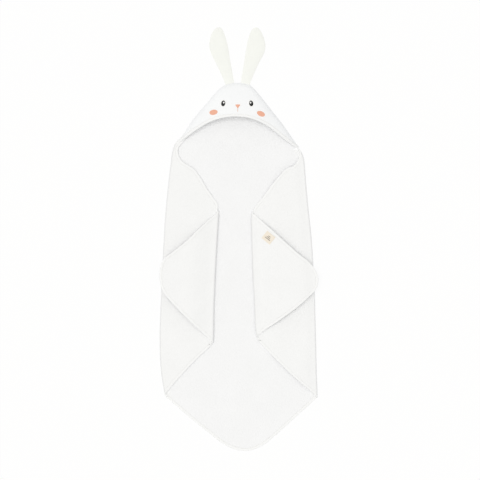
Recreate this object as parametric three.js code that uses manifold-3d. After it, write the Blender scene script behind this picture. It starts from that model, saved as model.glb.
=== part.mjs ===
// A hooded baby towel laid flat, face up. The towel is one rounded square of terry cloth turned
// corner up: a hood with two ears is sewn over its top corner, and each side corner is folded
// inwards and then back out again, so the folded towel lies in three layers.
// Seen from above with the ears up, +X is to the right, +Y is towards the ears and +Z is up.

import * as THREE from "three";
import { mergeVertices } from "three/addons/utils/BufferGeometryUtils.js";
import Module from "manifold-3d";

const wasm = await Module();
wasm.setup();

// Cloth, in millimetres.
const TERRY = 4.6; // thickness of the terry cloth
const TAPE = 0.9; // thickness of the binding tape
const TAPE_WIDTH = 8; // width of the binding on each face of the cloth
const GAP = 0.3; // clearance between pieces that touch
const LAYER = TERRY + GAP; // height of one folded layer

// The folded body. Drops are measured down the towel from the left shoulder.
const HALF_WIDTH = 200; // middle of the towel to an outer fold, halfway down
const SIDE_LENGTH = 671; // shoulder to hip along the left outer fold
const SKIRT_DROP = 187; // hip to the unrounded bottom corner
const BOTTOM_SHIFT = 18; // the bottom corner's distance to the right of the middle
const BOTTOM_RADIUS = 98; // rounding of the bottom corner

// Each side. Its outer fold runs from shoulder to hip and its inner fold from neck to waist; the
// corner points outwards over the outer fold. The collar is the loop of the flap's upper edge,
// as [inwards, down] from the shoulder.
const LEFT = {
  name: "left",
  side: -1,
  shoulderIn: 9, // from HALF_WIDTH inwards to the shoulder
  shoulderDrop: 0,
  hipOut: 9, // from HALF_WIDTH outwards to the hip
  hipLower: 0, // below the end of SIDE_LENGTH
  neckHalf: 54, // middle of the towel to the neck
  neckDrop: 162,
  waistHalf: 69, // middle of the towel to the waist
  waistRise: 139, // from the hip up to the waist
  cornerOut: 63.5, // from HALF_WIDTH outwards to the unrounded corner
  cornerLower: -10, // from the middle of the inner fold down to the corner
  cornerRadius: 93,
  collar: [[21, 0], [24, 14], [31.5, 31], [48, 45], [67, 53], [81, 73]],
};
const RIGHT = {
  name: "right",
  side: 1,
  shoulderIn: 16,
  shoulderDrop: 6,
  hipOut: 18,
  hipLower: 5,
  neckHalf: 34,
  neckDrop: 170,
  waistHalf: 48,
  waistRise: 159,
  cornerOut: 51,
  cornerLower: 11.5,
  cornerRadius: 57,
  collar: [[18, 0], [22, 16], [27, 28], [38, 39], [55, 46], [65, 56]],
};
const TIP_SET_BACK = 9; // how far along its fold each end of the outer corner's own edge starts

// The hood, over the top corner.
const HOOD_APEX_X = -2; // the unrounded top corner
const HOOD_LENGTH = 223; // from the left shoulder up to the unrounded top corner
const HOOD_RADIUS = 67; // rounding of the top corner
const HOOD_END_GAP = 20; // from a shoulder up to the end of the hood's front edge
const HOOD_ARCH = 76; // how far the middle of the front edge curves up towards the apex
const HOOD_RISE = 27; // how far the middle of the front edge stands off the towel
const LINING = 1.6; // thickness of the hood's lining
const SEAM_SHARE = 0.35; // share of its thickness that cloth keeps where it is sewn flat

// The ears.
const EAR_LENGTH = 162; // from the seam's inner end to the tip
const EAR_BASE = 24; // width where the ear is sewn in
const EAR_OUTER = 37.5; // bulge of the outer side
const EAR_INNER = 13.8; // bulge of the inner side
const EAR_LEAN = 10.7; // degrees from upright
const EAR_SPREAD = 21; // from the middle of the hood to the middle of an ear's base
const EAR_INSET = 7; // how far below the top of the hood an ear's outline begins
const EAR_CLOTH = 2; // thickness of each of an ear's two layers

// The embroidered face. Places are shares across the hood, and down it from its top.
const THREAD = 1.1; // height of the embroidery
const EYE = { width: 10.6, height: 15.5, lean: 8 };
const GLINT = { width: 4.4, height: 5.6, inwards: 1.4, up: 1.4 };
const NOSE = { width: 13.5, height: 10.5, round: 1.8 };
const MOUTH = { width: 2, length: 11 };
const CHEEK = { width: 22, height: 13.6 };
const LEFT_EYE_PLACE = [0.272, 0.492];
const RIGHT_EYE_PLACE = [0.699, 0.489];
const NOSE_PLACE = [0.495, 0.595];
const LEFT_CHEEK_PLACE = [0.211, 0.674];
const RIGHT_CHEEK_PLACE = [0.753, 0.71];
const LEFT_CHEEK_TURN = 8; // degrees
const RIGHT_CHEEK_TURN = -23;

// The woven label on the right corner, square to the corner's upper edge.
const LABEL_ALONG = 76; // along the edge from the top of the fold to the label's middle
const LABEL_IN = 20; // from the edge to the label's middle
const LABEL_LENGTH = 28;
const LABEL_WIDTH = 27;
const LABEL_THICK = 0.6;
const LABEL_THREAD = 0.8; // width of the thread line round the label
const LABEL_MARGIN = 2; // from the label's edge to its thread line

const colours = {
  terry: [0xf6f7f6, 0.95],
  binding: [0xf8f8f7, 0.85],
  lining: [0xf4f5f4, 0.9],
  ear: [0xf1f2ef, 0.9],
  black_thread: [0x222222, 0.55],
  white_thread: [0xfdfdfd, 0.5],
  coral_thread: [0xf2a48c, 0.6],
  label: [0xf6e8d8, 0.7],
};

const towel = new THREE.Group();

// ---- helpers ----

const point = (x, y) => new THREE.Vector2(x, y);

// A closed three.js geometry as a manifold-3d solid.
function solid(geometry) {
  geometry.deleteAttribute("normal");
  geometry.deleteAttribute("uv");
  const merged = mergeVertices(geometry, 1e-4);
  return new wasm.Manifold(
    new wasm.Mesh({
      numProp: 3,
      vertProperties: merged.attributes.position.array,
      triVerts: new Uint32Array(merged.index.array),
    }),
  );
}

// An upright prism over a closed outline.
function prism(outline, low, high) {
  const shape = new THREE.Shape(outline);
  const depth = high - low;
  const geometry = new THREE.ExtrudeGeometry(shape, { depth, bevelEnabled: false });
  return solid(geometry.translate(0, 0, low));
}

function add(parent, name, made, finish, layer = 0) {
  const built = made.getMesh();
  const geometry = new THREE.BufferGeometry()
    .setAttribute("position", new THREE.BufferAttribute(built.vertProperties, 3))
    .setIndex(new THREE.BufferAttribute(built.triVerts, 1));
  geometry.computeVertexNormals();
  const [color, roughness] = colours[finish];
  const material = new THREE.MeshStandardMaterial({ color, roughness, metalness: 0 });
  const mesh = new THREE.Mesh(geometry, material);
  mesh.name = name;
  mesh.position.z = layer * LAYER;
  parent.add(mesh);
  return mesh;
}

// The points of an arc that rounds the corner between two straight edges.
function roundCorner(before, corner, after, radius, steps = 14) {
  const back = before.clone().sub(corner).normalize();
  const on = after.clone().sub(corner).normalize();
  const half = Math.acos(THREE.MathUtils.clamp(back.dot(on), -1, 1)) / 2;
  const toCentre = back.clone().add(on).normalize();
  const centre = corner.clone().addScaledVector(toCentre, radius / Math.sin(half));
  const start = corner.clone().addScaledVector(back, radius / Math.tan(half)).sub(centre);
  const turn = Math.sign(toCentre.cross(start)) * (Math.PI - 2 * half);
  return Array.from({ length: steps + 1 }, (_, i) =>
    start.clone().rotateAround(point(0, 0), (turn * i) / steps).add(centre),
  );
}

// An open path moved sideways: positive distances move it to its left.
function beside(path, distance) {
  return path.map((here, i) => {
    const before = path[Math.max(i - 1, 0)];
    const after = path[Math.min(i + 1, path.length - 1)];
    const along = after.clone().sub(before).normalize();
    return point(here.x - along.y * distance, here.y + along.x * distance);
  });
}

// The same path run on past both of its ends.
function runOn(path, by) {
  const first = path[0].clone().add(path[0].clone().sub(path[1]).setLength(by));
  const last = path.at(-1).clone().add(path.at(-1).clone().sub(path.at(-2)).setLength(by));
  return [first, ...path, last];
}

// The strip of cloth that lies within a distance of a free edge, on its left.
function strip(path, distance, low, high) {
  const longer = runOn(path, 2 * distance + TAPE_WIDTH);
  return prism([...beside(longer, -1), ...beside(longer, distance).reverse()], low, high);
}

// ---- the folded body ----

// A panel of terry whose free edges are each held in a tape folded over them. The cloth is
// pressed thin inside the tape, so that both faces of tape and cloth are level.
function boundPanel(parent, name, outline, edges, layer) {
  let cloth = prism(outline, 0, TERRY);
  let tongue = prism(outline, TAPE + GAP, TERRY - TAPE - GAP);
  for (const [edgeName, path] of Object.entries(edges)) {
    cloth = cloth.subtract(strip(path, TAPE_WIDTH + GAP, -1, TERRY + 1));
    tongue = tongue.subtract(strip(path, TAPE + GAP, -1, TERRY + 1));
    const tape = prism(outline, 0, TERRY).intersect(strip(path, TAPE_WIDTH, -1, TERRY + 1));
    const fold = strip(path, TAPE, -1, TERRY + 1);
    const slot = strip(path, TAPE_WIDTH + 1, TAPE, TERRY - TAPE).subtract(fold);
    add(parent, edgeName, tape.subtract(slot), "binding", layer);
  }
  add(parent, name, cloth.add(tongue), "terry", layer);
}

// The named places of one side.
function landmarks(w) {
  const at = (out, drop) => point(w.side * out, -drop);
  const shoulder = at(HALF_WIDTH - w.shoulderIn, w.shoulderDrop);
  const hipDrop = SIDE_LENGTH + w.hipLower;
  const waistDrop = hipDrop - w.waistRise;
  const neck = at(w.neckHalf, w.neckDrop);
  const waist = at(w.waistHalf, waistDrop);
  const setBack = waist.clone().sub(neck).setLength(TIP_SET_BACK);
  return {
    shoulder,
    hip: at(HALF_WIDTH + w.hipOut, hipDrop),
    neck,
    waist,
    tipTop: neck.clone().add(setBack),
    tipBottom: waist.clone().sub(setBack),
    corner: at(HALF_WIDTH + w.cornerOut, (w.neckDrop + waistDrop) / 2 + w.cornerLower),
    collar: w.collar.map(([inwards, down]) => shoulder.clone().add(at(-inwards, down))),
  };
}

// A fold line moved by half the clearance, away from or towards the middle of the towel.
function foldEdge(w, top, bottom, inwards) {
  const shift = (inwards ? 0.5 : -0.5) * GAP * -w.side;
  return [point(top.x + shift, top.y), point(bottom.x + shift, bottom.y)];
}

// Outlines run anticlockwise, so a right-hand panel's points are reversed.
const turned = (w, points) => (w.side < 0 ? points : points.slice().reverse());

function foldedSide(w) {
  const m = landmarks(w);
  const flap = new THREE.Group();
  const tip = new THREE.Group();
  towel.add(flap);
  flap.add(tip);

  const [outerTop, outerBottom] = foldEdge(w, m.shoulder, m.hip, true);
  const [innerTop, innerBottom] = foldEdge(w, m.neck, m.waist, false);
  const upper = [outerTop, ...m.collar, innerTop];
  const lower = [innerBottom, outerBottom];
  boundPanel(
    flap,
    w.name + "_flap",
    turned(w, [outerTop, outerBottom, innerBottom, ...upper.slice(1).reverse()]),
    {
      [w.name + "_flap_upper_binding"]: turned(w, upper.slice(1).reverse()),
      [w.name + "_flap_lower_binding"]: turned(w, lower.slice().reverse()),
    },
    1,
  );

  const [tipTop, tipBottom] = foldEdge(w, m.tipTop, m.tipBottom, false);
  const round = roundCorner(tipTop, m.corner, tipBottom, w.cornerRadius);
  const edge = [tipTop, ...round, tipBottom];
  boundPanel(
    tip,
    w.name + "_corner",
    turned(w, edge),
    { [w.name + "_corner_binding"]: turned(w, edge) },
    2,
  );
}

const left = landmarks(LEFT);
const right = landmarks(RIGHT);

// The two legs of the hood's outline, each from the middle of the rounded apex to its shoulder.
const hoodEnds = [left, right].map((m) => m.collar[0].clone().add(point(0, HOOD_END_GAP)));
const apex = point(HOOD_APEX_X, HOOD_LENGTH);
const crown = roundCorner(hoodEnds[0], apex, hoodEnds[1], HOOD_RADIUS, 16);
const leftLeg = [...crown.slice(0, 9).reverse(), hoodEnds[0]];
const rightLeg = [...crown.slice(8), hoodEnds[1]];

function middlePanel() {
  const [leftTop, leftBottom] = foldEdge(LEFT, left.shoulder, left.hip, true);
  const [rightTop, rightBottom] = foldEdge(RIGHT, right.shoulder, right.hip, true);
  const bottom = point(BOTTOM_SHIFT, -SIDE_LENGTH - SKIRT_DROP);
  const hem = [leftBottom, ...roundCorner(leftBottom, bottom, rightBottom, BOTTOM_RADIUS), rightBottom];
  const top = [rightTop, ...rightLeg.slice(1).reverse(), ...leftLeg, leftTop];
  boundPanel(towel, "middle_panel", [...hem, ...top], { bottom_binding: hem }, 0);
}

// ---- the hood ----

const hood = new THREE.Group();
hood.position.z = LAYER;
towel.add(hood);

// The point at a share of the way along a leg.
function alongLeg(leg, share) {
  const path = new THREE.CurvePath();
  leg.slice(1).forEach((end, i) => path.add(new THREE.LineCurve(leg[i], end)));
  return path.getPointAt(share);
}

// Plan place, height and thickness of the hood: u runs from left to right, v from top to front.
function hoodAt(u, v) {
  const a = alongLeg(leftLeg, v);
  const b = alongLeg(rightLeg, v);
  const bow = 4 * u * (1 - u);
  const fullness = (1 - Math.abs(2 * u - 1) ** 6) * (1 - (1 - v) ** 6);
  return {
    x: THREE.MathUtils.lerp(a.x, b.x, u),
    y: THREE.MathUtils.lerp(a.y, b.y, u) + HOOD_ARCH * v ** 2 * bow,
    rise: HOOD_RISE * v ** 0.7 * bow,
    thick: SEAM_SHARE + (1 - SEAM_SHARE) * fullness,
  };
}

const ACROSS = 22; // the hood's mesh: columns, rows, and the first row's place under the top
const DOWN = 12;
const FIRST_ROW = 0.03;
const hoodGrid = Array.from({ length: DOWN + 1 }, (_, j) => {
  const v = FIRST_ROW + (1 - FIRST_ROW) * (j / DOWN);
  return Array.from({ length: ACROSS + 1 }, (_, i) => hoodAt(i / ACROSS, v));
});

// A closed shell between two heights over the hood's underside.
function hoodShell(low, high) {
  const positions = [];
  for (const height of [low, high])
    for (const p of hoodGrid.flat()) positions.push(p.x, p.y, p.rise + height(p.thick));
  const upperStart = (ACROSS + 1) * (DOWN + 1);
  const at = (i, j) => j * (ACROSS + 1) + i;
  const index = [];
  const quad = (a, b, c, d) => index.push(a, b, c, a, c, d);
  for (let j = 0; j < DOWN; j++)
    for (let i = 0; i < ACROSS; i++) {
      const ring = [at(i, j), at(i, j + 1), at(i + 1, j + 1), at(i + 1, j)];
      quad(...ring.map((k) => k + upperStart));
      quad(...ring.slice().reverse());
    }
  const rim = [];
  for (let j = 0; j < DOWN; j++) rim.push(at(0, j));
  for (let i = 0; i < ACROSS; i++) rim.push(at(i, DOWN));
  for (let j = DOWN; j > 0; j--) rim.push(at(ACROSS, j));
  for (let i = ACROSS; i > 0; i--) rim.push(at(i, 0));
  rim.forEach((a, k) => {
    const b = rim[(k + 1) % rim.length];
    quad(b + upperStart, a + upperStart, a, b);
  });
  const geometry = new THREE.BufferGeometry()
    .setAttribute("position", new THREE.Float32BufferAttribute(positions, 3))
    .setIndex(index);
  return solid(geometry);
}

const liningTop = (thick) => LINING * thick;
const hoodBottom = (thick) => liningTop(thick) + GAP;
const hoodTop = (thick) => hoodBottom(thick) + (TERRY - TAPE) * thick;
const TALL = HOOD_RISE + 20;

function makeHood() {
  const front = hoodGrid[DOWN].map((p) => point(p.x, p.y));
  const band = strip(front, TAPE_WIDTH, -1, TALL);
  const cut = strip(front, TAPE_WIDTH + GAP, -1, TALL);
  add(hood, "hood_lining", hoodShell(() => 0, liningTop).subtract(cut), "lining");
  add(hood, "hood_panel", hoodShell(hoodBottom, hoodTop).subtract(cut), "terry");
  add(hood, "hood_front_binding", hoodShell(() => 0, hoodTop).intersect(band), "binding");
}

// ---- the embroidered face ----

function ellipse(middle, width, height, turn = 0) {
  const angle = THREE.MathUtils.degToRad(turn);
  const { x, y } = middle;
  const curve = new THREE.EllipseCurve(x, y, width / 2, height / 2, 0, 2 * Math.PI, false, angle);
  return curve.getPoints(20).slice(0, -1);
}

function onHood([across, down]) {
  const { x, y } = hoodAt(across, down);
  return point(x, y);
}

// The embroidery follows the hood's surface: each piece is an outline cut out of one thin skin.
const skin = hoodShell((thick) => hoodTop(thick) + GAP, (thick) => hoodTop(thick) + GAP + THREAD);

function embroider(name, outline, finish, hole) {
  let patch = skin.intersect(prism(outline, -1, TALL));
  if (hole) patch = patch.subtract(prism(hole, -1, TALL));
  add(hood, name, patch, finish);
}

function makeEye(name, place, side) {
  const middle = onHood(place);
  const glint = middle.clone().add(point(-side * GLINT.inwards, GLINT.up));
  const around = ellipse(glint, GLINT.width + 2 * GAP, GLINT.height + 2 * GAP);
  const eye = ellipse(middle, EYE.width, EYE.height, side * EYE.lean);
  embroider(name, eye, "black_thread", around);
  embroider(name + "_glint", ellipse(glint, GLINT.width, GLINT.height), "white_thread");
}

function makeNose() {
  const middle = onHood(NOSE_PLACE);
  const top = middle.y + NOSE.height / 2;
  const tip = middle.y - NOSE.height / 2;
  const corners = [
    point(middle.x - NOSE.width / 2, top),
    point(middle.x, tip - NOSE.round),
    point(middle.x + NOSE.width / 2, top),
  ];
  const nose = corners.flatMap((corner, i) =>
    roundCorner(corners[(i + 2) % 3], corner, corners[(i + 1) % 3], NOSE.round, 5),
  );
  embroider("nose", nose, "coral_thread");
  const low = tip - GAP - MOUTH.length;
  const half = MOUTH.width / 2;
  const mouth = [
    point(middle.x - half, low),
    point(middle.x + half, low),
    point(middle.x + half, tip - GAP),
    point(middle.x - half, tip - GAP),
  ];
  embroider("mouth_line", mouth, "coral_thread");
}

function makeFace() {
  makeEye("left_eye", LEFT_EYE_PLACE, -1);
  makeEye("right_eye", RIGHT_EYE_PLACE, 1);
  makeNose();
  const leftCheek = ellipse(onHood(LEFT_CHEEK_PLACE), CHEEK.width, CHEEK.height, LEFT_CHEEK_TURN);
  const rightCheek = ellipse(onHood(RIGHT_CHEEK_PLACE), CHEEK.width, CHEEK.height, RIGHT_CHEEK_TURN);
  embroider("left_cheek", leftCheek, "coral_thread");
  embroider("right_cheek", rightCheek, "coral_thread");
}

// ---- the ears ----

// One ear: a front and a back layer with one outline, its root cut to the top of the hood.
function makeEar(name, side) {
  const half = EAR_BASE / 2;
  const outer = side * EAR_OUTER;
  const inner = -side * EAR_INNER;
  const shape = new THREE.Shape();
  shape.moveTo(side * half, 0);
  shape.bezierCurveTo(side * (half + 3), 27, outer, 62, outer, EAR_LENGTH * 0.645);
  shape.bezierCurveTo(outer, EAR_LENGTH * 0.83, side * half * 1.4, EAR_LENGTH, side, EAR_LENGTH);
  shape.bezierCurveTo(inner * 0.7, EAR_LENGTH, inner, EAR_LENGTH * 0.78, inner, EAR_LENGTH * 0.57);
  shape.lineTo(-side * half, 0);
  const root = point(HOOD_APEX_X + side * EAR_SPREAD, crown[8].y - EAR_INSET);
  const lean = -side * THREE.MathUtils.degToRad(EAR_LEAN);
  const outline = shape
    .getPoints(12)
    .slice(0, -1)
    .map((p) => p.rotateAround(point(0, 0), lean).add(root));
  const layer = prism(outline, 0, EAR_CLOTH).subtract(prism(beside(crown, GAP), -1, TALL));
  add(towel, name + "_ear_back", layer, "terry");
  add(towel, name + "_ear_front", layer, "ear").position.z = EAR_CLOTH + GAP;
}

// ---- the label ----

function makeLabel() {
  const along = right.corner.clone().sub(right.tipTop).normalize();
  const inwards = point(along.y, -along.x);
  const middle = right.tipTop.clone().addScaledVector(along, LABEL_ALONG).addScaledVector(inwards, LABEL_IN);
  const label = new THREE.Group();
  label.position.set(middle.x, middle.y, 2 * LAYER + TERRY + GAP);
  label.rotation.z = along.angle();
  towel.add(label);
  const rectangle = (inset) => {
    const x = LABEL_LENGTH / 2 - inset;
    const y = LABEL_WIDTH / 2 - inset;
    return [point(-x, -y), point(x, -y), point(x, y), point(-x, y)];
  };
  add(label, "label", prism(rectangle(0), 0, LABEL_THICK), "label");
  const low = LABEL_THICK + GAP;
  const line = prism(rectangle(LABEL_MARGIN), low, low + LABEL_THREAD).subtract(
    prism(rectangle(LABEL_MARGIN + LABEL_THREAD), -1, low + 2),
  );
  add(label, "label_stitching", line, "white_thread");
}

middlePanel();
foldedSide(LEFT);
foldedSide(RIGHT);
makeHood();
makeFace();
makeEar("left", -1);
makeEar("right", 1);
makeLabel();

// The origin is on the surface that the towel lies on, under the middle of its box.
const box = new THREE.Box3().setFromObject(towel);
const centre = box.getCenter(new THREE.Vector3());
towel.position.set(-centre.x, -centre.y, -box.min.z);

export default towel;
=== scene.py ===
import math

import bpy
import numpy as np
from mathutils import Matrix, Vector, geometry


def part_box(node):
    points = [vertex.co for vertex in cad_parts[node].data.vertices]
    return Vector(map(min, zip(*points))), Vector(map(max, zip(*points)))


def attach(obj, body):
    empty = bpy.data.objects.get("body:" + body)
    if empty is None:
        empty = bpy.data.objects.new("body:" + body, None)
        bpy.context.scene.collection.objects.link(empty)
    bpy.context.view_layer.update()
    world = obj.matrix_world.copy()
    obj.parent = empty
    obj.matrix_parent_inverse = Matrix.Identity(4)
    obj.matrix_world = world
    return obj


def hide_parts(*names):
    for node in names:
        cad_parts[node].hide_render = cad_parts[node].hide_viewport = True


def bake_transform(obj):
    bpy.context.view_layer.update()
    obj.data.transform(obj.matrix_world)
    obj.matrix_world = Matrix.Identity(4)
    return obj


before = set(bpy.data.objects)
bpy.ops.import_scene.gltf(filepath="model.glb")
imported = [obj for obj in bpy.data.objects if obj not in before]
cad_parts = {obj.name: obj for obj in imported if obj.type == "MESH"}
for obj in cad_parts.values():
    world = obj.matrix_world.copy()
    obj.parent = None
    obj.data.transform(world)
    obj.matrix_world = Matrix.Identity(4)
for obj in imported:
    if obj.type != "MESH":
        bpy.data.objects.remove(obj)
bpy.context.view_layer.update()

bpy.ops.object.select_all(action="DESELECT")

# ---------------------------------------------------------------- studio
# The towel lies on a plain pale table. A broad lamp stands high above its left side, and the
# room's own white light fills in from all round. The camera hangs straight above.

SHOT_WIDTH = 1.32
CAMERA_HEIGHT = 6.0
CAMERA_SENSOR = 0.036

bpy.ops.mesh.primitive_plane_add(size=60, location=(0, 0, -0.0006))
table = bpy.context.object
table.name = "table"

table_paint = bpy.data.materials.new("table_paint")
table_paint.use_nodes = True
paint = table_paint.node_tree.nodes["Principled BSDF"]
paint.inputs["Base Color"].default_value = (0.12, 0.12, 0.12, 1)
paint.inputs["Roughness"].default_value = 0.9
paint.inputs["Specular IOR Level"].default_value = 0.1
paint.inputs["Emission Color"].default_value = (1, 1, 1, 1)
paint.inputs["Emission Strength"].default_value = 0.866
table.data.materials.append(table_paint)

room = bpy.data.worlds.new("room")
bpy.context.scene.world = room
room.use_nodes = True
room.node_tree.nodes["Background"].inputs["Color"].default_value = (0.99, 0.99, 0.965, 1)
room.node_tree.nodes["Background"].inputs["Strength"].default_value = 0.69

bpy.ops.object.light_add(type="SUN", location=(-2, -1, 6))
lamp = bpy.context.object
lamp.data.energy = 1.17
lamp.data.color = (1, 0.985, 0.945)
lamp.data.angle = math.radians(50)
lamp.rotation_euler = Vector((-0.17, 0.02, 0.985)).to_track_quat("Z", "Y").to_euler()

bpy.ops.object.camera_add(location=(0.0015, -0.0035, CAMERA_HEIGHT), rotation=(0, 0, 0))
camera = bpy.context.object
camera.data.sensor_width = CAMERA_SENSOR * 1000
camera.data.lens = CAMERA_SENSOR * 1000 * CAMERA_HEIGHT / SHOT_WIDTH
camera.data.clip_end = 60
bpy.context.scene.camera = camera
bpy.context.scene.view_settings.view_transform = "Standard"

# ---------------------------------------------------------------- middle of the towel
# One rounded square of looped cotton terry, woven and then cut, lies face up. This is its
# middle, from the hood's seam at the top to the bottom hem. The folded sides join on to it.

TERRY_THICK = 0.004
FOLD_RADIUS = 0.00245
FOLD_ARC = math.pi * FOLD_RADIUS
MARGIN = 0.014
WEAVE = 0.006
MIDDLE_WEAVE = 0.008
MIDDLE_WAVE = 0.0014


def level(node):
    low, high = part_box(node)
    return (low.z + high.z) / 2


MIDDLE_LEVEL = level("middle_panel")
FLAP_LEVEL = level("left_flap")
TIP_LEVEL = level("left_corner")


def flowing(points, step=0.004):
    """A smooth line through points, given in millimetres, with even steps in metres."""
    p = np.array(points, float) / 1000
    ends = np.vstack([2 * p[0] - p[1], p, 2 * p[-1] - p[-2]])
    out = []
    for a, b, c, d in zip(ends, ends[1:], ends[2:], ends[3:]):
        la, lb, lc = (max(np.linalg.norm(x), 1e-9) ** 0.5 for x in (b - a, c - b, d - c))
        m1 = (c - b) + lb * ((b - a) / la - (c - a) / (la + lb))
        m2 = (c - b) + lb * ((d - c) / lc - (d - b) / (lb + lc))
        t = np.linspace(0, 1, 25)[:-1, None]
        h = 2 * t**3 - 3 * t**2 + 1
        g = t**3 - 2 * t**2 + t
        k = t**3 - t**2
        out.append(h * b + g * m1 + (1 - h) * c + k * m2)
    line = np.vstack(out + [p[-1:]])
    return evenly(line, step)


def evenly(line, step):
    run = np.concatenate([[0], np.cumsum(np.linalg.norm(np.diff(line, axis=0), axis=1))])
    at = np.linspace(0, run[-1], max(2, round(run[-1] / step) + 1))
    return np.stack([np.interp(at, run, line[:, i]) for i in range(line.shape[1])], axis=1)


def ease(x, low, high):
    t = np.clip((np.asarray(x, float) - low) / (high - low), 0, 1)
    return t * t * (3 - 2 * t)


def side_of(line, y):
    """x at height y on a line that runs down the towel."""
    order = np.argsort(line[:, 1])
    return np.interp(y, line[order, 1], line[order, 0])


def inside(points, outline):
    x, y = points[:, 0], points[:, 1]
    hit = np.zeros(len(points), bool)
    for (ax, ay), (bx, by) in zip(outline, np.roll(outline, -1, axis=0)):
        crosses = (ay > y) != (by > y)
        if ay != by:
            hit ^= crosses & (x < (bx - ax) * (y - ay) / (by - ay) + ax)
    return hit


def within(points, faces, outline):
    """The faces whose middles lie inside the outline."""
    corners = np.array([list(f) for f in faces])
    kept = inside(points[corners].mean(axis=1), outline)
    return [tuple(f) for f, k in zip(corners.tolist(), kept) if k]


def away_from(points, line):
    """Each point's distance to an open line."""
    best = np.full(len(points), 9.0)
    for a, b in zip(line, line[1:]):
        ab = b - a
        t = np.clip(((points - a) @ ab) / max(ab @ ab, 1e-12), 0, 1)
        best = np.minimum(best, np.linalg.norm(points - (a + t[:, None] * ab), axis=1))
    return best


def new_piece(name, verts, faces, uv, material):
    mesh = bpy.data.meshes.new(name)
    mesh.from_pydata([tuple(v) for v in verts], [], faces)
    layer = mesh.uv_layers.new(name="cloth")
    index = np.zeros(len(mesh.loops), int)
    mesh.loops.foreach_get("vertex_index", index)
    layer.data.foreach_set("uv", np.asarray(uv, np.float32)[index].ravel())
    mesh.materials.append(material)
    piece = bpy.data.objects.new(name, mesh)
    bpy.context.scene.collection.objects.link(piece)
    return piece


def finish_modifiers(piece, angle=45):
    bpy.ops.object.select_all(action="DESELECT")
    piece.select_set(True)
    bpy.context.view_layer.objects.active = piece
    for modifier in list(piece.modifiers):
        bpy.ops.object.modifier_apply(modifier=modifier.name)
    bpy.ops.object.shade_smooth_by_angle(angle=math.radians(angle))
    piece.select_set(False)


def cut_cloth(name, outline, place, material, columns=(), grid=WEAVE):
    """A cloth cut to an outline in its own flat plane, put in place and given its thickness."""
    xs = np.arange(outline[:, 0].min(), outline[:, 0].max(), grid)
    if len(columns):
        xs = np.concatenate([xs[(xs < columns[0] - 0.001) | (xs > columns[-1] + 0.001)], columns])
    ys = np.arange(outline[:, 1].min(), outline[:, 1].max(), grid)
    points = np.stack(np.meshgrid(xs, ys), axis=-1).reshape(-1, 2)
    points = points[inside(points, outline)]
    points = points[away_from(points, np.vstack([outline, outline[:1]])) > 0.3 * grid]
    flat = [Vector(p) for p in np.vstack([outline, points])]
    loop = [list(range(len(outline)))]
    verts, _, faces, *_ = geometry.delaunay_2d_cdt(flat, [], loop, 1, 1e-7, True)
    uv = np.array([tuple(v) for v in verts])
    faces = within(uv, faces, outline)
    piece = new_piece(name, place(uv), faces, uv, material)
    solidify = piece.modifiers.new("thick", "SOLIDIFY")
    solidify.thickness = TERRY_THICK
    solidify.offset = 0
    finish_modifiers(piece)
    return piece


def crinkle(x, y, size, seed=0.0):
    """Soft low waves in cloth, from -1 to 1."""
    a = np.sin(x / size * 1.3 + 2.1 * seed) * np.sin(y / size * 0.9 + seed)
    b = np.sin((x + 0.6 * y) / size * 0.7 + 1.7 + seed) * 0.6
    c = np.sin((y - 0.4 * x) / size * 1.9 + 0.4 + 3 * seed) * 0.4
    return (a + b + c) / 2


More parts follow.
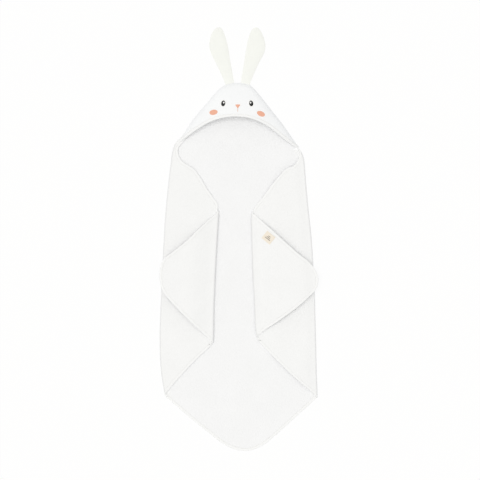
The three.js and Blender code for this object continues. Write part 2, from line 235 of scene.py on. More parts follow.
def terry_finish(name, colour, pile, folded=False):
    """Looped pile: rows of loops and clumps of them; for folded cloth, painted shade darkens the colour
    along the middle of each fold's turn.
    """
    made = bpy.data.materials.new(name)
    made.use_nodes = True
    nodes, links = made.node_tree.nodes, made.node_tree.links
    shader = nodes["Principled BSDF"]
    shader.inputs["Roughness"].default_value = 0.95
    shader.inputs["Specular IOR Level"].default_value = 0.15
    shader.inputs["Sheen Weight"].default_value = 0.04
    shader.inputs["Sheen Roughness"].default_value = 0.6
    uv = nodes.new("ShaderNodeUVMap")
    uv.uv_map = "cloth"
    loops = nodes.new("ShaderNodeTexVoronoi")
    loops.inputs["Scale"].default_value = 520
    clumps = nodes.new("ShaderNodeTexNoise")
    clumps.inputs["Scale"].default_value = 110
    clumps.inputs["Detail"].default_value = 3
    drift = nodes.new("ShaderNodeTexNoise")
    drift.inputs["Scale"].default_value = 14
    for texture in (loops, clumps, drift):
        links.new(uv.outputs["UV"], texture.inputs["Vector"])
    shade = nodes.new("ShaderNodeMix")
    shade.data_type = "RGBA"
    shade.inputs["A"].default_value = (*[c * 0.972 for c in colour], 1)
    shade.inputs["B"].default_value = (*[min(1, c * 1.012) for c in colour], 1)
    pick = nodes.new("ShaderNodeMath")
    pick.operation = "MULTIPLY_ADD"
    pick.inputs[1].default_value = -0.9
    links.new(loops.outputs["Distance"], pick.inputs[0])
    links.new(drift.outputs["Fac"], pick.inputs[2])
    spread = nodes.new("ShaderNodeMapRange")
    spread.inputs["From Min"].default_value = -0.3
    spread.inputs["From Max"].default_value = 0.7
    links.new(pick.outputs["Value"], spread.inputs["Value"])
    links.new(spread.outputs["Result"], shade.inputs["Factor"])
    ground = shade.outputs["Result"]
    # Painted shade: along the middle of the fold's turn the colour is darkened to 0.9, standing in for
    # the shade where the cloth curves away.
    if folded:
        split = nodes.new("ShaderNodeSeparateXYZ")
        links.new(uv.outputs["UV"], split.inputs["Vector"])
        off = nodes.new("ShaderNodeMath")
        off.operation = "SUBTRACT"
        off.inputs[1].default_value = FOLD_ARC / 2
        links.new(split.outputs["X"], off.inputs[0])
        from_fold = nodes.new("ShaderNodeMath")
        from_fold.operation = "ABSOLUTE"
        links.new(off.outputs["Value"], from_fold.inputs[0])
        fold_shade_mask = nodes.new("ShaderNodeMapRange")
        fold_shade_mask.interpolation_type = "SMOOTHSTEP"
        fold_shade_mask.inputs["From Min"].default_value = 0.0015
        fold_shade_mask.inputs["From Max"].default_value = 0.0052
        fold_shade_mask.inputs["To Min"].default_value = 1
        fold_shade_mask.inputs["To Max"].default_value = 0
        links.new(from_fold.outputs["Value"], fold_shade_mask.inputs["Value"])
        fold_shade = nodes.new("ShaderNodeMix")
        fold_shade.data_type = "RGBA"
        fold_shade.inputs["B"].default_value = (*[c * 0.9 for c in colour], 1)
        links.new(fold_shade_mask.outputs["Result"], fold_shade.inputs["Factor"])
        links.new(ground, fold_shade.inputs["A"])
        ground = fold_shade.outputs["Result"]
    links.new(ground, shader.inputs["Base Color"])
    low = nodes.new("ShaderNodeBump")
    low.inputs["Strength"].default_value = 0.5
    low.inputs["Distance"].default_value = pile * 1.2
    links.new(clumps.outputs["Fac"], low.inputs["Height"])
    high = nodes.new("ShaderNodeBump")
    high.invert = True
    high.inputs["Strength"].default_value = 0.55
    high.inputs["Distance"].default_value = pile
    links.new(loops.outputs["Distance"], high.inputs["Height"])
    links.new(low.outputs["Normal"], high.inputs["Normal"])
    links.new(high.outputs["Normal"], shader.inputs["Normal"])
    return made


terry = terry_finish("terry", (0.908, 0.911, 0.932), 0.0007)
# The folded pieces' terry, with painted shade along each fold.
fold_shaded_terry = terry_finish("fold_shaded_terry", (0.908, 0.911, 0.925), 0.0007, folded=True)

# These outlines, and the hood's and ears' further down, are runs of measured points in
# millimetres, set closer together than the shapes need.
LEFT_OUTER_FOLD = flowing([
    (-172, 268), (-176.8, 260.5), (-181.3, 251), (-184.6, 239), (-187, 222), (-190.3, 195),
    (-194.5, 161.5), (-200, 106.5), (-205, 51.5), (-208, -3.5), (-211, -58.5), (-213.8, -113),
    (-215.8, -168.5), (-218.3, -223.5), (-219.2, -290), (-217.6, -340), (-212.6, -388),
    (-206.5, -420), (-203.5, -440),
])
RIGHT_OUTER_FOLD = flowing([
    (163.5, 250), (168, 241.5), (174, 230), (178, 214), (182.3, 162.5), (190.4, 74),
    (197.3, 11), (203.4, -77.5), (206.8, -140), (208.4, -208), (210.6, -290), (212.2, -366),
    (214.6, -425), (214.6, -440),
])
HEM_LINE = flowing([
    (-216, -421.5), (-202, -434), (-185.5, -448.2), (-163.5, -467.2), (-136, -491),
    (-108.5, -513.7), (-81, -535.3), (-53.5, -556.8), (-26, -573), (1.5, -581.3), (14, -582.4),
    (29, -581.3), (56.5, -571.4), (84, -552.6), (125, -515.8), (166.5, -478), (199.5, -448.5),
    (214.5, -435), (228, -422.5),
])
CROWN_LINE = flowing([
    (-177, 260), (-167, 270.3), (-153.5, 287), (-143, 303.5), (-130.5, 323.5), (-115, 342.5),
    (-99, 361), (-86, 376), (-66, 400.5), (-48.5, 416.5), (-36, 423.5), (-22, 427.2),
    (-6.3, 428.3), (6, 427.8), (18, 425.8), (29, 421.8), (41, 411), (56, 393.5), (69.5, 376.5),
    (95, 343.5), (109, 326.5), (121.5, 310), (132.8, 293.5), (144.3, 277), (155.5, 260.5),
    (163.5, 248.5),
])
LEFT_FLAP_TOP = flowing([
    (-147, 275.8), (-157, 264), (-164.3, 256), (-169, 247), (-169.3, 237), (-164.5, 223),
    (-154.5, 210), (-139, 200.5), (-124.5, 190.5), (-110.5, 172), (-88.5, 136), (-69.5, 109),
    (-61.5, 98), (-59.5, 90), (-60.8, 81),
])
LEFT_INNER_FOLD = flowing([
    (-58.4, 89), (-57, 80), (-56.6, 68), (-57.3, 52), (-59.2, 24), (-62.4, -30), (-65.2, -85),
    (-67.6, -140), (-69.6, -195), (-70.4, -250), (-71.2, -275), (-73.6, -288), (-76.5, -295),
])
LEFT_FLAP_LOW = flowing([
    (-78.5, -292.5), (-90, -304), (-116.6, -328.5), (-145, -358), (-183, -399.5),
    (-195.5, -415.5),
])
RIGHT_FLAP_TOP = flowing([
    (162.4, 245.4), (165.2, 239.5), (164.8, 226), (158, 209.7), (145.4, 198), (129.6, 192.5),
    (120, 183.5), (101, 162.4), (69.7, 121.3), (48, 93.5), (42, 86), (40, 80.5),
])
RIGHT_INNER_FOLD = flowing([
    (37.5, 87), (35, 79), (32.6, 68), (31.5, 50), (33, 11), (34.5, -55), (37, -113.5),
    (40.5, -177), (43, -240), (45.5, -265), (48.2, -279), (50, -284),
])
RIGHT_FLAP_LOW = flowing([
    (53, -281.5), (69.7, -299.5), (117, -347), (164.4, -391.5), (196, -417.5), (207.5, -428),
])


def fold_centre(line, inwards):
    """The line that the cloth turns round, inside the fold's outermost line."""
    return line + np.array([inwards * (FOLD_RADIUS + TERRY_THICK / 2), 0])


left_centre = fold_centre(LEFT_OUTER_FOLD, 1)
right_centre = fold_centre(RIGHT_OUTER_FOLD, -1)
left_inner_centre = fold_centre(LEFT_INNER_FOLD, -1)
right_inner_centre = fold_centre(RIGHT_INNER_FOLD, 1)
LEFT_TOP_Y = 0.2605
RIGHT_TOP_Y = 0.244
SEAM_INSET = 0.0045


def hem_at(x):
    return float(np.interp(x, HEM_LINE[:, 0], HEM_LINE[:, 1]))


def margin_line(centre, towards, top_y):
    """The seamless line inside an outer fold where the middle's cloth meets the side's."""
    x = side_of(centre, -0.43) + towards * MARGIN
    low = hem_at(x)
    y = np.append(np.arange(low + 0.001, top_y - 0.002, 0.004), top_y)
    y[0] = low
    return np.column_stack([side_of(centre, y) + towards * MARGIN, y])


def middle_height(x, y):
    """The middle lies in very low soft waves wherever no flap lies on it."""
    left = np.vstack([LEFT_FLAP_TOP, LEFT_INNER_FOLD, LEFT_FLAP_LOW])
    right = np.vstack([RIGHT_FLAP_TOP, RIGHT_INNER_FOLD, RIGHT_FLAP_LOW])
    room = np.minimum(x - side_of(left, y), side_of(right, y) - x)
    wave = 0.5 + 0.5 * crinkle(x, y, 0.05, 0.3)
    return MIDDLE_LEVEL + MIDDLE_WAVE * wave * ease(room, 0.004, 0.045)


def lay_middle(p, lift=0.0):
    return np.column_stack([p, middle_height(p[:, 0], p[:, 1]) + lift])


left_margin = margin_line(left_centre, 1, LEFT_TOP_Y)
right_margin = margin_line(right_centre, -1, RIGHT_TOP_Y)
ahead = np.gradient(CROWN_LINE, axis=0)
ahead /= np.linalg.norm(ahead, axis=1)[:, None]
crown_seam = CROWN_LINE + SEAM_INSET * np.column_stack([ahead[:, 1], -ahead[:, 0]])
crown_seam = crown_seam[2:-2]
between = (HEM_LINE[:, 0] > left_margin[0, 0] + 0.002) & (HEM_LINE[:, 0] < right_margin[0, 0] - 0.002)
middle_hem = np.vstack([left_margin[:1], HEM_LINE[between], right_margin[:1]])
middle_outline = np.vstack([left_margin, crown_seam, right_margin[::-1], middle_hem[::-1][1:-1]])
middle = cut_cloth("middle_cloth", middle_outline, lay_middle, terry, grid=MIDDLE_WEAVE)
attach(middle, "towel")
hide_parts("middle_panel")

# ---------------------------------------------------------------- bottom binding
# The hem's edge is closed in a cotton tape folded over it lengthways, and held by one row of
# lockstitch close to the tape's inner edge.

TAPE_REACH = 0.0078
TAPE_HALF = 0.00228
TAPE_SECTION = [(1.0, 0.0), (1.0, 0.8), (0.93, 0.96), (0.84, 0.86), (0.72, 1.0), (0.3, 1.0),
                (0.08, 0.94), (-0.04, 0.7), (-0.1, 0.3)]
TAPE_RING = TAPE_SECTION + [(s, -t) for s, t in TAPE_SECTION[:0:-1]]
TAPE_ACROSS = [max(s, 0) * TAPE_REACH for s, _ in TAPE_RING]


def tape_finish(name, colour):
    """Fine plain weave with one row of stitches, 2.6 mm long, pulled down into the tape, with painted
    shade darkening the groove along the row.
    """
    made = bpy.data.materials.new(name)
    made.use_nodes = True
    nodes, links = made.node_tree.nodes, made.node_tree.links
    shader = nodes["Principled BSDF"]
    shader.inputs["Roughness"].default_value = 0.85
    shader.inputs["Specular IOR Level"].default_value = 0.2
    shader.inputs["Sheen Weight"].default_value = 0.08
    uv = nodes.new("ShaderNodeUVMap")
    uv.uv_map = "cloth"
    split = nodes.new("ShaderNodeSeparateXYZ")
    links.new(uv.outputs["UV"], split.inputs["Vector"])

    def sums(kind, first, second):
        node = nodes.new("ShaderNodeMath")
        node.operation = kind
        for socket, value in zip(node.inputs, (first, second)):
            if isinstance(value, (int, float)):
                socket.default_value = value
            else:
                links.new(value, socket)
        return node.outputs["Value"]

    threads = []
    for axis in ("X", "Y"):
        turns = sums("MULTIPLY", split.outputs[axis], 2 * math.pi / 0.0006)
        threads.append(sums("SINE", turns, 0))
    weave = sums("MULTIPLY", threads[0], threads[1])
    along = sums("FRACT", sums("DIVIDE", split.outputs["X"], 0.0026), 0)
    on_stitch = sums("LESS_THAN", along, 0.74)
    from_row = sums("ABSOLUTE", sums("SUBTRACT", split.outputs["Y"], 0.0064), 0)
    row = sums("LESS_THAN", from_row, 0.00028)
    stitch = sums("MULTIPLY", row, on_stitch)
    stitch_groove_and_shade = nodes.new("ShaderNodeMapRange")
    stitch_groove_and_shade.interpolation_type = "SMOOTHSTEP"
    stitch_groove_and_shade.inputs["From Max"].default_value = 0.0011
    links.new(from_row, stitch_groove_and_shade.inputs["Value"])
    ground = sums("ADD", sums("MULTIPLY", weave, 0.08), sums("MULTIPLY", stitch_groove_and_shade.outputs["Result"], 0.9))
    height = sums("ADD", ground, sums("MULTIPLY", stitch, 0.7))
    bump = nodes.new("ShaderNodeBump")
    bump.inputs["Strength"].default_value = 0.6
    bump.inputs["Distance"].default_value = 0.0006
    links.new(height, bump.inputs["Height"])
    links.new(bump.outputs["Normal"], shader.inputs["Normal"])
    # Painted shade: the tape's colour is darkened to 0.955 in the groove along the stitch row; the same
    # groove is also a real dip in the bump.
    shade = nodes.new("ShaderNodeMix")
    shade.data_type = "RGBA"
    shade.inputs["A"].default_value = (*[c * 0.955 for c in colour], 1)
    shade.inputs["B"].default_value = (*colour, 1)
    links.new(stitch_groove_and_shade.outputs["Result"], shade.inputs["Factor"])
    thread = nodes.new("ShaderNodeMix")
    thread.data_type = "RGBA"
    thread.inputs["B"].default_value = (0.95, 0.95, 0.945, 1)
    links.new(shade.outputs["Result"], thread.inputs["A"])
    links.new(stitch, thread.inputs["Factor"])
    links.new(thread.outputs["Result"], shader.inputs["Base Color"])
    return made


def tube(name, rings, material, across):
    """A closed skin over rings of points, with its UVs in metres along and across it."""
    rings = np.asarray(rings)
    count, width = rings.shape[:2]
    steps = np.linalg.norm(np.diff(rings.mean(axis=1), axis=0), axis=1)
    run = np.concatenate([[0], np.cumsum(steps)])
    verts = rings.reshape(-1, 3)
    uv = np.stack(np.broadcast_arrays(run[:, None], np.asarray(across)[None]), axis=-1)
    faces = [
        (i * width + j, i * width + (j + 1) % width,
         (i + 1) * width + (j + 1) % width, (i + 1) * width + j)
        for i in range(count - 1) for j in range(width)
    ]
    faces.append(tuple(range(width))[::-1])
    faces.append(tuple((count - 1) * width + j for j in range(width)))
    piece = new_piece(name, verts, faces, uv.reshape(-1, 2), material)
    bpy.context.view_layer.objects.active = piece
    piece.select_set(True)
    bpy.ops.object.mode_set(mode="EDIT")
    bpy.ops.mesh.select_all(action="SELECT")
    bpy.ops.mesh.normals_make_consistent(inside=False)
    bpy.ops.object.mode_set(mode="OBJECT")
    finish_modifiers(piece, angle=50)
    return piece


def bind_edge(name, line, lay, inner_side):
    """Tape folded over a cloth's edge. inner_side is 1 where the cloth is left of the line."""
    line = line[np.append(True, np.linalg.norm(np.diff(line, axis=0), axis=1) > 1e-5)]
    ahead = np.gradient(line, axis=0)
    ahead /= np.linalg.norm(ahead, axis=1)[:, None]
    inward = inner_side * np.column_stack([-ahead[:, 1], ahead[:, 0]])
    sides = [lay(line + inward * s * TAPE_REACH, t * TAPE_HALF) for s, t in TAPE_RING]
    return tube(name, np.stack(sides, axis=1), tape, TAPE_ACROSS)


tape = tape_finish("binding_tape", (0.908, 0.911, 0.922))
bottom_binding = bind_edge("bottom_tape", middle_hem, lay_middle, 1)
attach(bottom_binding, "towel")
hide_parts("bottom_binding")

# ---------------------------------------------------------------- left side
# The left side of the same towel turns over along the outer fold, lies on the middle as a
# flap, and its corner turns back out again on top. Tape binds its edges all the way round.

STRIP = 0.012
STRIP_TAPER = 0.024
FLAP_WAVE = 0.0009
TIP_WAVE = 0.0012
TIP_EDGE_LIFT = 0.0012
LEFT_TIP_STAND = 0.0084
ARC = np.linspace(0, FOLD_ARC, 11)
LEFT_TIP_TOP = flowing([
    (-63, 69), (-88, 48.5), (-113.5, 24), (-142, -4), (-183, -37), (-203.5, -52.5),
    (-211.5, -63), (-216.5, -78), (-218.3, -92), (-217.6, -115.5), (-214.6, -132), (-207, -148),
    (-189, -170), (-138.7, -222.4), (-88.2, -270), (-82, -277),
])


def fold_over(centre, towards, low, high, rise):
    """How cloth lies round a fold: q runs across it, y along it.

    Below q = 0 it is the lower layer, above the half turn it is the upper one.
    """
    radius = (high - low) / 2
    turn = math.pi * radius

    def lay(p, lift=0.0):
        q, y = p[:, 0], p[:, 1]
        angle = np.clip(q / radius, 0, math.pi)
        out = np.maximum(-q, 0) + np.maximum(q - turn, 0)
        x = side_of(centre, y) + towards * (out - (radius - lift) * np.sin(angle))
        z = (low + high) / 2 - (radius - lift) * np.cos(angle)
        return np.column_stack([x, y, z + rise(x, y, out) * (q > turn)])

    def upper(line):
        return np.column_stack([turn + towards * (line[:, 0] - side_of(centre, line[:, 1])), line[:, 1]])

    return lay, upper


def across_fold(y_low, y_high):
    """The cloth's end where it goes round a fold, from the lower layer to the upper."""
    return np.column_stack([ARC, np.linspace(y_low, y_high, len(ARC))])


def strip_width(y, top, bottom):
    from_top, from_bottom = (top - y) / STRIP_TAPER, (y - bottom) / STRIP_TAPER
    return STRIP * np.clip(from_top, 0, 1) * np.clip(from_bottom, 0, 1)


def butt_line(centre, towards, top, bottom):
    """Where the flap's cloth meets the corner's, hidden under the corner."""
    y = np.linspace(top, bottom, 90)
    return np.column_stack([side_of(centre, y) + towards * strip_width(y, top, bottom), y])


def left_flap_rise(x, y, out):
    from_inner = side_of(left_inner_centre, y) - x
    wave = 0.5 + 0.5 * crinkle(x, y, 0.045, 1.1)
    return FLAP_WAVE * wave * ease(out, 0.004, 0.04) * ease(from_inner, 0.016, 0.05)


def left_tip_rise(x, y, out):
    wave = 0.5 + 0.5 * crinkle(x, y, 0.05, 2.2)
    stand = (LEFT_TIP_STAND + TIP_WAVE * wave) * ease(out, 0.005, 0.065)
    return TIP_EDGE_LIFT * ease(out, 0.003, 0.03) + stand


def cloth_side(outline):
    """1 where the outline runs anticlockwise, so that its cloth is on its left, or else -1."""
    x, y = outline[:, 0], outline[:, 1]
    return float(np.sign(np.sum(x * np.roll(y, -1) - y * np.roll(x, -1))))


def make_flap(side, centre, towards, inner, top_y, band, top, low, hip, rise):
    """The cloth from the middle round the outer fold to the hidden line by the inner fold."""
    lay, upper = fold_over(centre, towards, MIDDLE_LEVEL, FLAP_LEVEL, rise)
    margin = left_margin if towards > 0 else right_margin
    q_margin = np.column_stack([np.full(len(margin), -MARGIN), margin[:, 1]])
    fold_top, fold_low = top[-1, 1], low[0, 1]
    butt = butt_line(inner, -towards, fold_top, fold_low)
    edges = [upper(top), upper(butt)[1:-1], upper(low)]
    hip_end = across_fold(*hip)[::-1]
    loop = [upper(band)] if len(band) else []
    outline = np.vstack([q_margin, across_fold(top_y, top_y), *loop, *edges, hip_end])
    piece = cut_cloth(side + "_flap_cloth", outline, lay, fold_shaded_terry, ARC)
    top_tape = bind_edge(side + "_flap_top_tape", edges[0], lay, cloth_side(outline))
    low_line = np.vstack([edges[2], hip_end, q_margin[:1]])
    low_tape = bind_edge(side + "_flap_low_tape", low_line, lay, cloth_side(outline))
    for part in (piece, top_tape, low_tape):
        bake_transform(part)
    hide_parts(side + "_flap")
    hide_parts(side + "_flap_upper_binding")
    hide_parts(side + "_flap_lower_binding")


def make_tip(side, inner, towards, top, low, edge, rise):
    """The corner, from the hidden strip of flap round the inner fold to its bound edge."""
    lay, upper = fold_over(inner, towards, FLAP_LEVEL, TIP_LEVEL, rise)
    fold_top, fold_low = top[-1, 1], low[0, 1]
    y = np.linspace(fold_low, fold_top, 90)
    strip = np.column_stack([-strip_width(y, fold_top, fold_low), y])
    bound = np.vstack([
        across_fold(fold_top, edge[0, 1] + 0.003), upper(edge),
        across_fold(fold_low, edge[-1, 1] - 0.003)[::-1],
    ])
    outline = np.vstack([strip[1:-1], bound])
    piece = cut_cloth(side + "_corner_cloth", outline, lay, fold_shaded_terry, ARC)
    edge_tape = bind_edge(side + "_corner_tape", bound, lay, cloth_side(outline))
    for part in (piece, edge_tape):
        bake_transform(part)
    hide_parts(side + "_corner")
    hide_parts(side + "_corner_binding")
    return piece


LEFT_BAND = flowing([(-172, 263.2), (-161.5, 268.2), (-150, 276)])
make_flap("left", left_centre, 1, left_inner_centre, LEFT_TOP_Y, LEFT_BAND, LEFT_FLAP_TOP,
          LEFT_FLAP_LOW, (hem_at(-0.199), -0.4215), left_flap_rise)
make_tip("left", left_inner_centre, -1, LEFT_FLAP_TOP, LEFT_FLAP_LOW, LEFT_TIP_TOP, left_tip_rise)

# ---------------------------------------------------------------- right side
# The right side is folded in the same two turns. Its inner fold is a softer roll, with a
# shallow valley beside it, because the cloth was turned less sharply here.

RIGHT_TIP_STAND = 0.0074
VALLEY_LIFT = 0.0042
ROLL_LIFT = 0.0022
RIGHT_TIP_TOP = flowing([
    (44, 65), (57, 52.5), (88.6, 24), (126.5, -10.5), (164.4, -44), (189.6, -63.5), (203.8, -80),
    (211.8, -95), (215.6, -112), (213.3, -128), (206, -142.5), (192.8, -156), (164.4, -181.5),
    (117, -217.3), (69.7, -249.5), (58, -260),
])


def right_flap_rise(x, y, out):
    from_inner = x - side_of(right_inner_centre, y)
    wave = 0.5 + 0.5 * crinkle(x, y, 0.045, 4.1)
    loose = FLAP_WAVE * wave * ease(out, 0.004, 0.04) + VALLEY_LIFT * ease(out, 0, 0.026)
    return loose * ease(from_inner, 0.014, 0.06)


def right_tip_rise(x, y, out):
    wave = 0.5 + 0.5 * crinkle(x, y, 0.05, 5.2)
    roll = ROLL_LIFT * np.exp(-((out - 0.0055) / 0.0045) ** 2) * ease(out, 0, 0.003)
    roll = roll * ease(y, -0.27, -0.2) * (1 - ease(y, 0.02, 0.07))
    under = right_flap_rise(x, y, side_of(right_centre, y) - x)
    stand = (RIGHT_TIP_STAND + TIP_WAVE * wave) * ease(out, 0.008, 0.065)
    own = TIP_EDGE_LIFT * ease(out, 0.012, 0.04) + stand
    return roll + under + own


make_flap("right", right_centre, -1, right_inner_centre, RIGHT_TOP_Y, [], RIGHT_FLAP_TOP,
          RIGHT_FLAP_LOW, (hem_at(0.2105), -0.4315), right_flap_rise)
right_corner = make_tip("right", right_inner_centre, 1, RIGHT_FLAP_TOP, RIGHT_FLAP_LOW,
                        RIGHT_TIP_TOP, right_tip_rise)

# ---------------------------------------------------------------- hood
# A rounded three-cornered cloth is sewn along both upper edges of the towel. Its front edge is
# cut longer than the gap it spans, so it arches up. It is terry outside and smooth cotton
# inside, and tape binds the two together along the front.

HOOD_RISE = 0.0242
HOOD_ROWS = 60
HOOD_COLUMNS = 150
HOOD_LAP = 0.016
LINING_THICK = 0.0012
HOOD_FRONT = flowing([
    (-176.3, 259.6), (-162, 267.6), (-147, 278), (-134.4, 287.3), (-117.6, 299), (-99.5, 310.4),
    (-81, 320.1), (-56.6, 328.8), (-32, 333.6), (-7.6, 334.8), (17, 333), (35, 328.3),
    (56.5, 320.5), (75, 310.5), (93, 298.5), (108.4, 286), (123.6, 273.6), (139.5, 261.8),
    (151, 254), (163, 247.5),
], 0.002)


def hood_point(u, v):
    """A point half way through the hood's terry: u from left to right, v from crown to front."""
    u, v = np.broadcast_arrays(np.asarray(u, float), np.asarray(v, float))
    x = HOOD_FRONT[0, 0] + (HOOD_FRONT[-1, 0] - HOOD_FRONT[0, 0]) * u
    crown = np.interp(x, CROWN_LINE[:, 0], CROWN_LINE[:, 1])
    front = np.minimum(np.interp(x, HOOD_FRONT[:, 0], HOOD_FRONT[:, 1]), crown - 0.0006)
    flat = np.stack([x, crown + (front - crown) * v], axis=-1)
    edge = away_from(flat.reshape(-1, 2), CROWN_LINE).reshape(u.shape)
    lap = 1 - (1 - np.clip(edge / HOOD_LAP, 0, 1)) ** 2
    wave = crinkle(flat[..., 0], flat[..., 1], 0.03, 0.7) * ease(edge, 0.01, 0.04)
    bow = (4 * u * (1 - u)) ** 0.9
    z = 0.0026 + 0.0066 * lap + HOOD_RISE * v ** 0.75 * bow + 0.0009 * wave
    return np.concatenate([flat, z[..., None]], axis=-1)


def hood_normal(u, v, d=0.004):
    across = hood_point(np.minimum(u + d, 1), v) - hood_point(np.maximum(u - d, 0), v)
    down = hood_point(u, np.minimum(v + d, 1)) - hood_point(u, np.maximum(v - d, 0))
    normal = np.cross(down, across)
    normal[..., 2] += 1e-9
    normal *= np.sign(normal[..., 2:])
    return normal / np.linalg.norm(normal, axis=-1, keepdims=True)


def hood_sheet(name, us, vs, sink, thick, material):
    """One of the hood's cloths, as a closed skin a little below the terry's middle."""
    u, v = np.meshgrid(us, vs)
    middle = hood_point(u, v)
    middle[..., 2] -= sink
    rim_gap = away_from(middle[..., :2].reshape(-1, 2), CROWN_LINE).reshape(u.shape)
    half = thick / 2 * (0.35 + 0.65 * ease(rim_gap, 0, 0.006))
    normal = hood_normal(u, v) * half[..., None]
    rows, columns = u.shape
    top = (middle + normal).reshape(-1, 3)
    low = (middle - normal).reshape(-1, 3)
    number = np.arange(rows * columns).reshape(rows, columns)
    square = np.stack([number[:-1, :-1], number[1:, :-1], number[1:, 1:], number[:-1, 1:]], axis=-1)
    rim = np.concatenate([number[0], number[1:, -1], number[-1, -2::-1], number[-2:0:-1, 0]])
    below = rows * columns
    wall = np.column_stack([rim, np.roll(rim, -1), np.roll(rim, -1) + below, rim + below])
    faces = np.vstack([square.reshape(-1, 4), square.reshape(-1, 4)[:, ::-1] + below, wall])
    verts = np.vstack([top, low])
    piece = new_piece(name, verts, faces.tolist(), verts[:, :2], material)
    bpy.context.view_layer.objects.active = piece
    piece.select_set(True)
    bpy.ops.object.mode_set(mode="EDIT")
    bpy.ops.mesh.select_all(action="SELECT")
    bpy.ops.mesh.remove_doubles(threshold=0.00002)
    bpy.ops.mesh.normals_make_consistent(inside=False)
    bpy.ops.object.mode_set(mode="OBJECT")
    finish_modifiers(piece)
    return piece


hood_terry = terry_finish("hood_terry", (0.927, 0.937, 0.962), 0.0006)
us = 0.5 - 0.499 * np.cos(np.linspace(0, math.pi, HOOD_COLUMNS))
vs = np.linspace(0.002, 1, HOOD_ROWS) ** 0.9
hood = hood_sheet("hood_cloth", us, vs, 0, TERRY_THICK, hood_terry)
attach(hood, "towel")
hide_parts("hood_panel")


def smooth_finish(name, colour, size):
    """Plain-woven cotton: fine threads each way and a little unevenness."""
    made = bpy.data.materials.new(name)
    made.use_nodes = True
    nodes, links = made.node_tree.nodes, made.node_tree.links
    shader = nodes["Principled BSDF"]
    shader.inputs["Roughness"].default_value = 0.9
    shader.inputs["Specular IOR Level"].default_value = 0.15
    shader.inputs["Sheen Weight"].default_value = 0.1
    uv = nodes.new("ShaderNodeUVMap")
    uv.uv_map = "cloth"
    heights = []
    for direction in ("X", "Y"):
        thread = nodes.new("ShaderNodeTexWave")
        thread.bands_direction = direction
        thread.inputs["Scale"].default_value = 1 / (size * math.pi)
        thread.inputs["Distortion"].default_value = 0.6
        links.new(uv.outputs["UV"], thread.inputs["Vector"])
        heights.append(thread.outputs["Fac"])
    weave = nodes.new("ShaderNodeMath")
    weave.operation = "MULTIPLY"
    links.new(heights[0], weave.inputs[0])
    links.new(heights[1], weave.inputs[1])
    uneven = nodes.new("ShaderNodeTexNoise")
    uneven.inputs["Scale"].default_value = 45
    links.new(uv.outputs["UV"], uneven.inputs["Vector"])
    shade = nodes.new("ShaderNodeMix")
    shade.data_type = "RGBA"
    shade.inputs["A"].default_value = (*[c * 0.975 for c in colour], 1)
    shade.inputs["B"].default_value = (*[min(1, c * 1.01) for c in colour], 1)
    links.new(uneven.outputs["Fac"], shade.inputs["Factor"])
    links.new(shade.outputs["Result"], shader.inputs["Base Color"])
    bump = nodes.new("ShaderNodeBump")
    bump.inputs["Strength"].default_value = 0.3
    bump.inputs["Distance"].default_value = 0.0003
    links.new(weave.outputs["Value"], bump.inputs["Height"])
    links.new(bump.outputs["Normal"], shader.inputs["Normal"])
    return made


lining_cotton = smooth_finish("lining_cotton", (0.9, 0.9, 0.88), 0.0008)
lining_us = 0.06 + 0.88 * us
lining_vs = np.linspace(0.16, 0.995, 50)
lining_sink = TERRY_THICK / 2 + LINING_THICK / 2 + 0.0002
lining = hood_sheet("hood_lining_cloth", lining_us, lining_vs, lining_sink, LINING_THICK,
                    lining_cotton)
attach(lining, "towel")
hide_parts("hood_lining")


def front_tape_rings():
    """The front tape's rings: along the front edge, with the section laid into the hood."""
    edge_u = np.linspace(0.004, 0.996, 190)
    deep_v = np.linspace(1, 0, 240)
    path = hood_point(*np.meshgrid(edge_u, deep_v, indexing="ij"))
    ahead = np.gradient(path[:, 0], axis=0)
    ahead /= np.linalg.norm(ahead, axis=1)[:, None]
    steps = np.linalg.norm(np.cross(np.diff(path, axis=1), ahead[:, None]), axis=2)
    run = np.concatenate([np.zeros((len(edge_u), 1)), np.cumsum(steps, axis=1)], axis=1)
    outward = np.cross(ahead, hood_normal(edge_u, np.ones(len(edge_u))))
    half = TAPE_HALF + 0.0008 * ease(np.minimum(edge_u, 1 - edge_u), 0.0, 0.07)
    drop = half - TAPE_HALF
    rings = []
    for s, t in TAPE_RING:
        s = s * TAPE_REACH
        at = np.array([np.interp(max(s, 0), r, deep_v) for r in run])
        base = hood_point(edge_u, at) + outward * max(-s, 0)
        base[:, 2] -= drop
        rings.append(base + hood_normal(edge_u, at) * (t * half)[:, None])
    return np.stack(rings, axis=1)


front_tape = tube("hood_front_tape", front_tape_rings(), tape, TAPE_ACROSS)
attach(front_tape, "towel")
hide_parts("hood_front_binding")


def cut_area(us, vs):
    """The area of the hood's cloth between these lines, measured over its own surface."""
    p = hood_point(*np.meshgrid(us, vs))
    across, down = p[:-1, 1:] - p[:-1, :-1], p[1:, :-1] - p[:-1, :-1]
    return float(np.linalg.norm(np.cross(across, down), axis=-1).sum())


cut_area(us, vs)
cut_area(lining_us, lining_vs)

# ---------------------------------------------------------------- ears
# Each ear is two layers of smooth cotton sewn face to face and turned out, with a thin fill.
# Its narrow base is caught in the seam at the top of the hood, so it can flop over.

